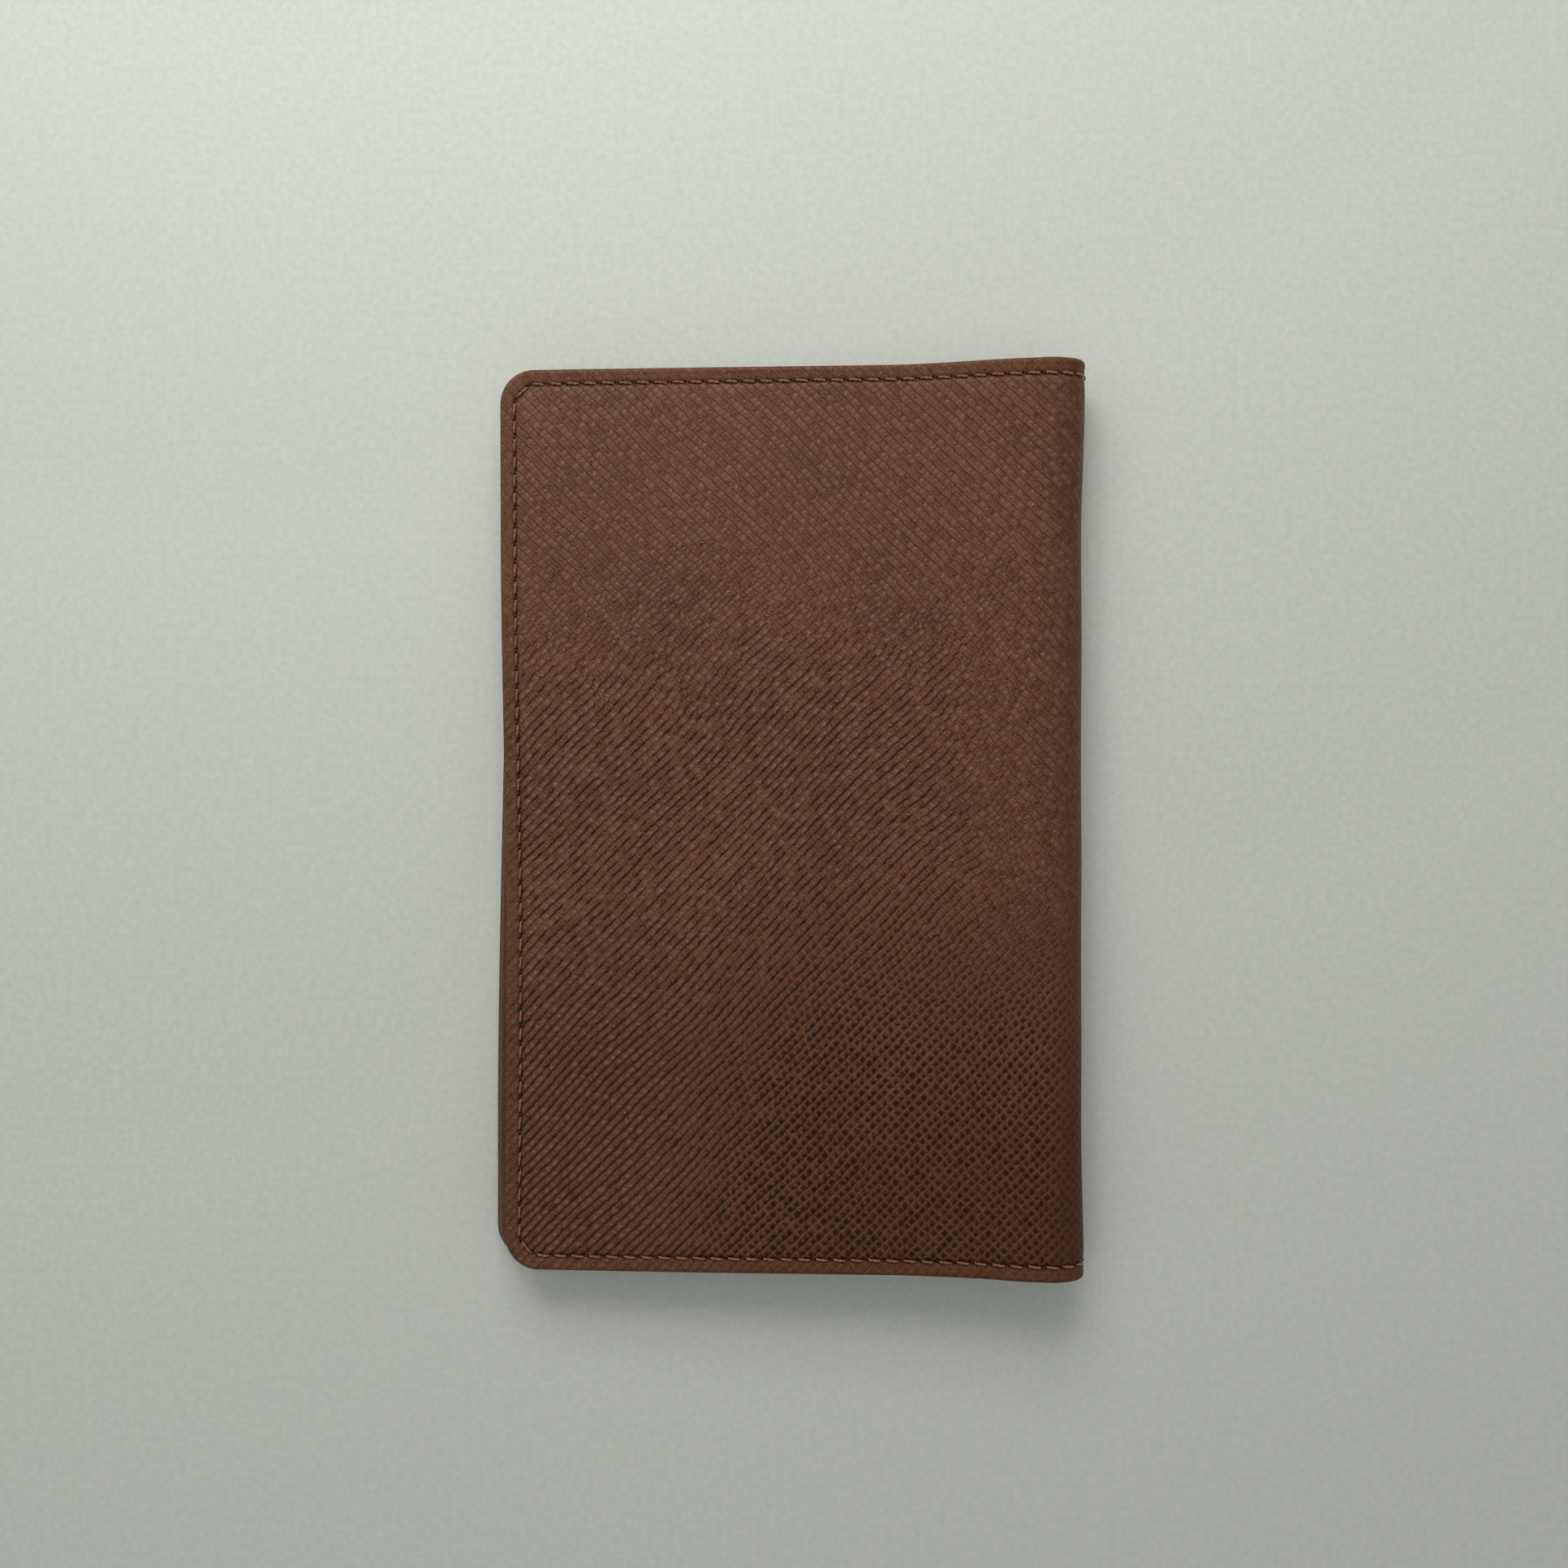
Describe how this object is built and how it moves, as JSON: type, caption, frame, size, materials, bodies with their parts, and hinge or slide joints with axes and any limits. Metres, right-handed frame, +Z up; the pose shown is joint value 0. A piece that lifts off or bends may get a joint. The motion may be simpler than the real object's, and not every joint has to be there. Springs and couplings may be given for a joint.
{
  "type": "passport holder",
  "caption": "Bifold leather passport holder, closed, with a rounded spine, seamed edges, two passport sleeves and card pockets inside.",
  "frame": {"origin": "centre of the closed holder's footprint, at the outer face of the back cover, which lies on the table", "axes": "+X from the free edges to the spine, +Y along the spine to the top edge, +Z up through the covers from back to front"},
  "size_m": [0.092, 0.142, 0.0111],
  "materials": {
    "cross_grain_leather": "brown leather with a raised cross-hatched grain, semi-matte",
    "inner_leather": "brown leather with a fine grain, semi-matte",
    "lining_cloth": "plain woven lining cloth",
    "stiffening_board": "fibre board",
    "seam_thread": "twisted waxed thread"
  },
  "bodies": {
    "back": {"back_cover_leather": "cross_grain_leather", "back_stiffener": "stiffening_board", "back_lining": "lining_cloth", "back_sleeve": "inner_leather", "back_edge_stitches": "seam_thread"},
    "spine_strip_1": {"spine_leather_1": "cross_grain_leather", "spine_lining_1": "lining_cloth", "spine_stitches_1": "seam_thread"},
    "spine_strip_2": {"spine_leather_2": "cross_grain_leather", "spine_lining_2": "lining_cloth", "spine_stitches_2": "seam_thread"},
    "spine_strip_3": {"spine_leather_3": "cross_grain_leather", "spine_lining_3": "lining_cloth", "spine_stitches_3": "seam_thread"},
    "front": {"front_cover_leather": "cross_grain_leather", "front_stiffener": "stiffening_board", "front_lining": "lining_cloth", "front_sleeve": "inner_leather", "front_edge_stitches": "seam_thread", "card_pocket_upper": "inner_leather", "card_pocket_middle": "inner_leather", "card_pocket_lower": "inner_leather", "card_pocket_stitches": "seam_thread"}
  },
  "joints": [
    {"name": "cover_open", "type": "hinge", "parent": "back", "child": "spine_strip_1", "pos_m": [0.04281, 0, 0], "axis": [0, 1, 0], "range_deg": [0, 45.65]},
    {"name": "spine_bend_2", "type": "hinge", "parent": "spine_strip_1", "child": "spine_strip_2", "pos_m": [0.04605, 0, 0.00331], "axis": [0, 1, 0], "range_deg": [0, 45.65]},
    {"name": "spine_bend_3", "type": "hinge", "parent": "spine_strip_2", "child": "spine_strip_3", "pos_m": [0.04595, 0, 0.00794], "axis": [0, 1, 0], "range_deg": [0, 45.65]},
    {"name": "spine_bend_4", "type": "hinge", "parent": "spine_strip_3", "child": "front", "pos_m": [0.04256, 0, 0.0111], "axis": [0, 1, 0], "range_deg": [0, 45.65]}
  ],
  "couplings": [
    {"joint": "spine_bend_2", "follows": "cover_open", "ratio": 1},
    {"joint": "spine_bend_3", "follows": "cover_open", "ratio": 1},
    {"joint": "spine_bend_4", "follows": "cover_open", "ratio": 1}
  ]
}
